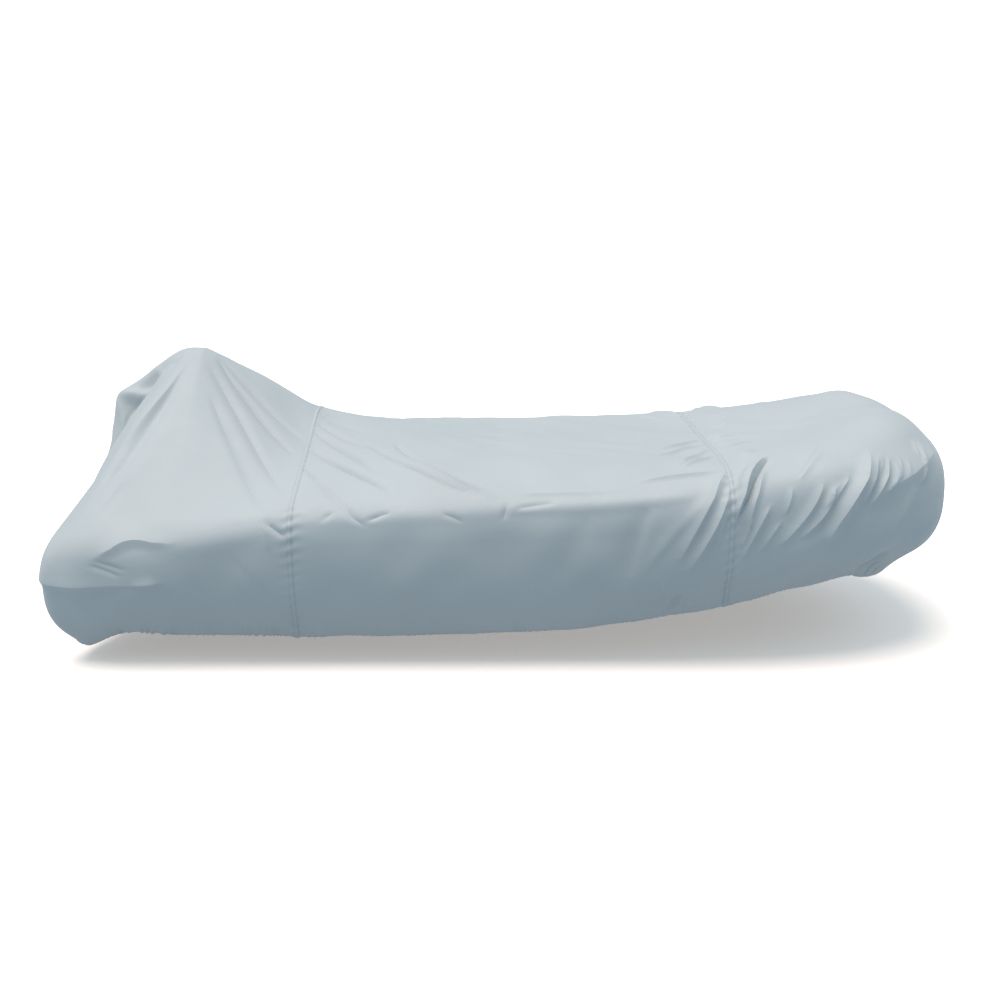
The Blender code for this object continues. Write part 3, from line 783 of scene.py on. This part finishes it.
def new_mesh(name, points, faces):
    mesh = bpy.data.meshes.new(name)
    mesh.from_pydata(points.tolist(), [], faces)
    mesh.update()
    mesh.shade_smooth()
    thing = bpy.data.objects.new(name, mesh)
    bpy.context.scene.collection.objects.link(thing)
    return thing


def map_cloth(thing, places):
    """Lays the weave on the cloth: metres along the gunwale, and out from the spine."""
    mesh = thing.data
    layer = mesh.uv_layers.new(name="cloth")
    corner_points = np.empty(len(mesh.loops), int)
    mesh.loops.foreach_get("vertex_index", corner_points)
    layer.data.foreach_set("uv", places[corner_points].astype(np.float32).reshape(-1))


def finish_piece(thing, material=None):
    thing.data.materials.append(material or MATERIAL)
    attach(thing, "root")


# ------------------------------------------------------------------ seams and stitches

def lap_profile():
    """Across a seam's lap, from side to side: the offset and the rise of each row."""
    half = np.array(LAP_PROFILE)
    return np.vstack([half[:0:-1] * (-1, 1), half])


def rows_at(at, grid, places):
    """A grid's rows at the given places, along its own straight faces."""
    i = np.clip(np.searchsorted(at, places) - 1, 0, len(at) - 2)
    t = ((places - at[i]) / (at[i + 1] - at[i]))[:, None, None]
    return grid[:, i] * (1 - t) + grid[:, i + 1] * t


def seam_patch(seam, cloth, hem):
    """The cloth under a seam's lap, as it lies in the panels: its points and normals."""
    places = seam + lap_profile()[:, 0]
    return [
        across_cover(np.concatenate([
            rows_at(AT_ROWS, cloth[part], places),
            rows_at(halved(AT_ROWS), hem[part], places)[:, :, 1:],
        ], axis=2))
        for part in (0, 1)
    ]


def across_cover(grid):
    """Rows that run from the near hem's edge over the top to the far one."""
    return np.concatenate([grid[0][:, ::-1], grid[1][:, 1:]], axis=1)


def seam_lap(name, patch):
    """The folded strip that covers a seam: flat on the cloth, with soft rounded edges."""
    line, out = patch
    top = line + out * lap_profile()[:, 1, None, None]
    under = line + out * LAP_UNDERSIDE
    rows, columns = line.shape[:2]
    number = np.arange(rows * columns).reshape(rows, columns)
    loop = np.vstack([number, number[::-1] + rows * columns, number[:1]])
    faces = quads_of(loop).tolist()
    faces.append(loop[:-1, 0].tolist()[::-1])
    faces.append(loop[:-1, -1].tolist())
    points = np.vstack([top.reshape(-1, 3), under.reshape(-1, 3)])
    thing = new_mesh(name, points, faces)
    places = np.stack([points[:, 0], points[:, 1] - points[:, 2]], -1)
    map_cloth(thing, places)
    finish_piece(thing)
    return thing


def stitches(name, patch):
    """Two rows of short stitches, sunk in a lap and joined as one piece."""
    line, out = patch
    ring = np.array(STITCH_OUTLINE)
    points = []
    faces = []
    offs = lap_profile()
    for side in (-1, 1):
        index = int(np.argmin(np.abs(offs[:, 0] - side * STITCH_OFF)))
        row = line[index]
        up = out[index]
        steps = np.linalg.norm(np.diff(row, axis=0), axis=1)
        along = np.append(0, np.cumsum(steps))
        for centre in np.arange(STITCH_PITCH, along[-1] - STITCH_PITCH, STITCH_PITCH):
            ends = centre + np.array(STITCH_CUTS) * STITCH_LENGTH
            path = np.stack([np.interp(ends, along, row[:, axis]) for axis in range(3)], -1)
            lift = np.array([np.interp(centre, along, up[:, axis]) for axis in range(3)])
            run = path[-1] - path[0]
            width = np.cross(lift, run / np.linalg.norm(run))
            start = len(points) * 4
            for place, size in zip(path, STITCH_TAPER):
                base = place + lift * offs[index, 1]
                points.append(
                    base
                    + width * ring[:, :1] * STITCH_WIDTH * size
                    + lift * ring[:, 1:] * STITCH_WIDTH * size
                )
            number = start + np.arange(16).reshape(4, 4)
            closed = np.hstack([number, number[:, :1]])
            faces += quads_of(closed)[:, ::-1].tolist()
            faces.append(number[0].tolist())
            faces.append(number[-1].tolist()[::-1])
    thing = new_mesh(name, np.vstack(points), faces)
    finish_piece(thing, THREAD)
    return thing


# -------------------------------------------------------------------------- the finish

def cloth_material():
    """Coated plain-woven polyester: pale blue-grey, with a fine weave and a soft sheen."""
    material = bpy.data.materials.new("coated_cloth")
    material.use_nodes = True
    nodes = material.node_tree.nodes
    links = material.node_tree.links
    shader = nodes["Principled BSDF"]
    shader.inputs["Sheen Weight"].default_value = CLOTH_SHEEN
    shader.inputs["Sheen Roughness"].default_value = CLOTH_SHEEN_ROUGHNESS
    shader.inputs["Specular IOR Level"].default_value = CLOTH_SPECULAR
    places = nodes.new("ShaderNodeTexCoord")

    def noise(scale, detail):
        texture = nodes.new("ShaderNodeTexNoise")
        texture.inputs["Scale"].default_value = scale
        texture.inputs["Detail"].default_value = detail
        links.new(places.outputs["Object"], texture.inputs["Vector"])
        return texture.outputs["Fac"]

    def ranged(value, low, high):
        span = nodes.new("ShaderNodeMapRange")
        span.inputs["From Min"].default_value = 0.3
        span.inputs["From Max"].default_value = 0.7
        span.inputs["To Min"].default_value = low
        span.inputs["To Max"].default_value = high
        links.new(value, span.inputs["Value"])
        return span.outputs["Result"]

    def mathed(operation, first, second):
        node = nodes.new("ShaderNodeMath")
        node.operation = operation
        for socket, value in zip(node.inputs, (first, second)):
            if isinstance(value, float):
                socket.default_value = value
            else:
                links.new(value, socket)
        return node.outputs["Value"]

    mottle = mathed(
        "MULTIPLY",
        ranged(noise(scale=1.4, detail=3.0), *BROAD_MOTTLE),
        ranged(noise(scale=160.0, detail=2.0), *FINE_MOTTLE),
    )
    tint = nodes.new("ShaderNodeVectorMath")
    tint.operation = "SCALE"
    tint.inputs["Vector"].default_value = CLOTH_COLOUR
    links.new(mottle, tint.inputs["Scale"])
    links.new(tint.outputs["Vector"], shader.inputs["Base Color"])
    roughness = ranged(noise(scale=7.0, detail=3.0), *CLOTH_ROUGHNESS)
    links.new(roughness, shader.inputs["Roughness"])

    threads = nodes.new("ShaderNodeSeparateXYZ")
    layer = nodes.new("ShaderNodeUVMap")
    layer.uv_map = "cloth"
    links.new(layer.outputs["UV"], threads.inputs["Vector"])
    turn = 2 * math.pi / WEAVE_PITCH
    warp = mathed("SINE", mathed("MULTIPLY", threads.outputs["X"], turn), 0.0)
    weft = mathed("SINE", mathed("MULTIPLY", threads.outputs["Y"], turn), 0.0)
    weave = mathed("MULTIPLY", mathed("MULTIPLY", warp, weft), WEAVE_HEIGHT)
    crinkle = mathed("MULTIPLY", noise(scale=38.0, detail=4.0), CRINKLE_HEIGHT)
    bump = nodes.new("ShaderNodeBump")
    bump.inputs["Distance"].default_value = 1.0
    bump.inputs["Strength"].default_value = 1.0
    links.new(mathed("ADD", weave, crinkle), bump.inputs["Height"])
    links.new(bump.outputs["Normal"], shader.inputs["Normal"])
    return material


def thread_material():
    """Polyester sewing thread, a little darker than the cloth."""
    material = bpy.data.materials.new("thread")
    material.use_nodes = True
    nodes = material.node_tree.nodes
    links = material.node_tree.links
    shader = nodes["Principled BSDF"]
    shader.inputs["Sheen Weight"].default_value = THREAD_SHEEN
    places = nodes.new("ShaderNodeTexCoord")
    twist = nodes.new("ShaderNodeTexNoise")
    twist.inputs["Scale"].default_value = THREAD_TWIST
    links.new(places.outputs["Object"], twist.inputs["Vector"])
    shade = nodes.new("ShaderNodeMix")
    shade.data_type = "RGBA"
    shade.inputs["A"].default_value = THREAD_SHADE
    shade.inputs["B"].default_value = THREAD_COLOUR
    links.new(twist.outputs["Fac"], shade.inputs["Factor"])
    links.new(shade.outputs["Result"], shader.inputs["Base Color"])
    shader.inputs["Roughness"].default_value = THREAD_ROUGHNESS
    return material


def floor_material():
    """A plain floor that looks white, and returns a dimmer, cooler light than it shows."""
    material = bpy.data.materials.new("pale_floor")
    material.use_nodes = True
    nodes = material.node_tree.nodes
    links = material.node_tree.links
    shader = nodes["Principled BSDF"]
    shader.inputs["Roughness"].default_value = FLOOR_ROUGHNESS
    shader.inputs["Specular IOR Level"].default_value = FLOOR_SPECULAR
    shader.inputs["Emission Color"].default_value = GLOW_COLOUR
    shader.inputs["Emission Strength"].default_value = FLOOR_GLOW
    path = nodes.new("ShaderNodeLightPath")
    colour = nodes.new("ShaderNodeMix")
    colour.data_type = "RGBA"
    colour.inputs["A"].default_value = FLOOR_RETURN
    colour.inputs["B"].default_value = FLOOR_COLOUR
    links.new(path.outputs["Is Camera Ray"], colour.inputs["Factor"])
    links.new(colour.outputs["Result"], shader.inputs["Base Color"])
    return material


# --------------------------------------------------------------- floor, light and camera

def studio(lift):
    mesh = bpy.data.meshes.new("floor")
    reach = FLOOR_REACH
    mesh.from_pydata(
        [(-reach, -reach, 0), (reach, -reach, 0), (reach, reach, 0), (-reach, reach, 0)],
        [],
        [(0, 1, 2, 3)],
    )
    floor = bpy.data.objects.new("floor", mesh)
    floor.location = (0, 0, FLOOR_Z + lift)
    mesh.materials.append(floor_material())
    bpy.context.scene.collection.objects.link(floor)

    sun = bpy.data.lights.new("overhead", "SUN")
    sun.energy = SUN_STRENGTH
    sun.angle = math.radians(SUN_ANGLE)
    sun.color = SUN_COLOUR
    lamp = bpy.data.objects.new("overhead", sun)
    lamp.rotation_euler = (math.radians(SUN_TO_NEAR), math.radians(-SUN_TO_STERN), 0)
    bpy.context.scene.collection.objects.link(lamp)

    world = bpy.data.worlds.new("studio")
    world.use_nodes = True
    nodes = world.node_tree.nodes
    links = world.node_tree.links
    fill = nodes["Background"]
    fill.inputs["Color"].default_value = FILL_COLOUR
    backdrop = nodes.new("ShaderNodeBackground")
    backdrop.inputs["Color"].default_value = BACKDROP_COLOUR
    backdrop.inputs["Strength"].default_value = BACKDROP_STRENGTH
    path = nodes.new("ShaderNodeLightPath")
    mix = nodes.new("ShaderNodeMixShader")
    links.new(path.outputs["Is Camera Ray"], mix.inputs["Fac"])
    links.new(fill.outputs["Background"], mix.inputs[1])
    links.new(backdrop.outputs["Background"], mix.inputs[2])
    links.new(mix.outputs["Shader"], nodes["World Output"].inputs["Surface"])
    bpy.context.scene.world = world
    bpy.context.scene.view_settings.view_transform = "Standard"


def photo_camera(lift):
    camera = bpy.data.cameras.new("photo")
    camera.sensor_width = SENSOR
    camera.lens = FOCAL_PIXELS * SENSOR / PHOTO_SIZE
    camera.clip_end = 200
    eye = bpy.data.objects.new("photo", camera)
    eye.location = (0, -CAMERA_BACK, CAMERA_HEIGHT + lift)
    eye.rotation_euler = (math.pi / 2 - math.atan(HORIZON_PIXELS / FOCAL_PIXELS), 0, 0)
    bpy.context.scene.collection.objects.link(eye)
    bpy.context.scene.camera = eye


MATERIAL = cloth_material()
THREAD = thread_material()
AT_ROWS = np.concatenate([
    spaced(*STERN_AT), [AT_STERN_SEAM], spaced(*MIDDLE_AT), [AT_BOW_SEAM], spaced(*BOW_AT)
])


def main():
    cloth, hem = folded([(AT_ROWS, spaced(*ROUND)), (halved(AT_ROWS), spaced(*HEM_ROUND))])
    middle = int(np.argmin(np.abs(AT_ROWS - AT_MIDDLE)))
    lift = CLOTH - cloth[0][0, middle, 0, 2]
    for grid in (cloth[0], hem[0]):
        grid[..., 2] += lift

    stern = int(np.argmin(np.abs(AT_ROWS - AT_STERN_SEAM)))
    bow = int(np.argmin(np.abs(AT_ROWS - AT_BOW_SEAM)))
    end = len(AT_ROWS) - 1
    for name, node, first, last, flat, area in (
        ("stern_cloth", "stern_panel", 0, stern, (3.1, 1.9), 3.9),
        ("middle_cloth", "middle_panel", stern, bow, (3.1, 1.66), 4.9),
        ("bow_cloth", "bow_panel", bow, end, (3.1, 1.5), 3.3),
    ):
        thing = panel(name, node, cloth, hem, first, last)
    for name, seam in (("stern_seam", AT_STERN_SEAM), ("bow_seam", AT_BOW_SEAM)):
        patch = seam_patch(seam, cloth, hem)
        seam_lap(name + "_lap", patch)
        stitches(name + "_stitches", patch)
    studio(lift)
    photo_camera(lift)


main()
